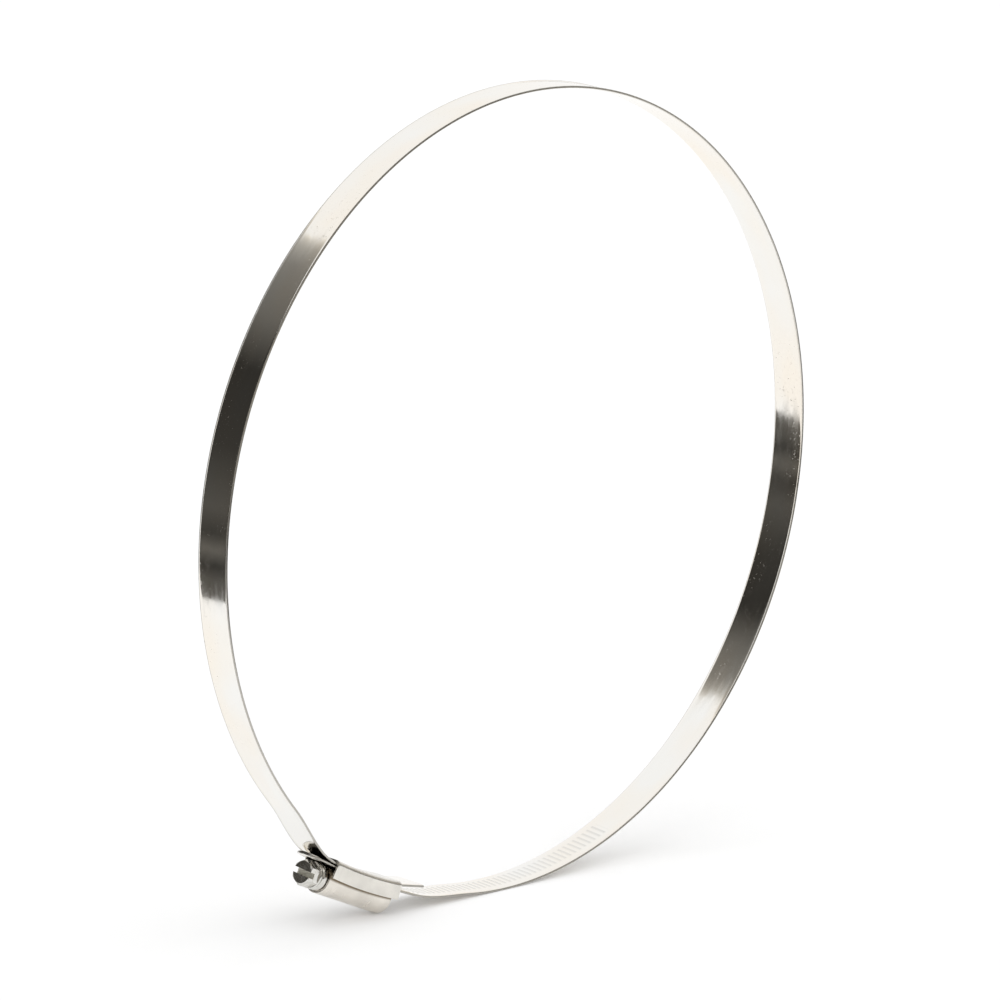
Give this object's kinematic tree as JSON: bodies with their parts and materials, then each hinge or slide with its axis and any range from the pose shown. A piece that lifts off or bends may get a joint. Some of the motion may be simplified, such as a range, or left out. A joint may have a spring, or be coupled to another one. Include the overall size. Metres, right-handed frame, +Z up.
{
  "type": "worm drive hose clamp",
  "caption": "Large worm drive hose clamp: a polished rolled-edge steel band in a ring, closed by a slotted hex-head worm screw in its housing.",
  "frame": {"origin": "centre of the ring, on the hose's axis at the middle of the band's width", "axes": "+Y along the hose's axis, +Z up as the clamp stands on its rim, +X to the right"},
  "size_m": [0.246, 0.0134, 0.246],
  "materials": {
    "band_steel": "polished stainless strip",
    "saddle_steel": "satin stainless sheet",
    "housing_steel": "pressed stainless sheet",
    "screw_steel": "bright stainless, turned and rolled"
  },
  "bodies": {
    "clamp": {"band": "band_steel", "saddle": "saddle_steel", "screw_housing": "housing_steel"},
    "screw": {"worm_screw": "screw_steel"}
  },
  "joints": [
    {"name": "screw_spin", "type": "hinge", "parent": "clamp", "child": "screw", "pos_m": [-0.04898, 0, -0.11815], "axis": [0.9238, 0, -0.383], "continuous": true, "deforming": ["band"]}
  ]
}
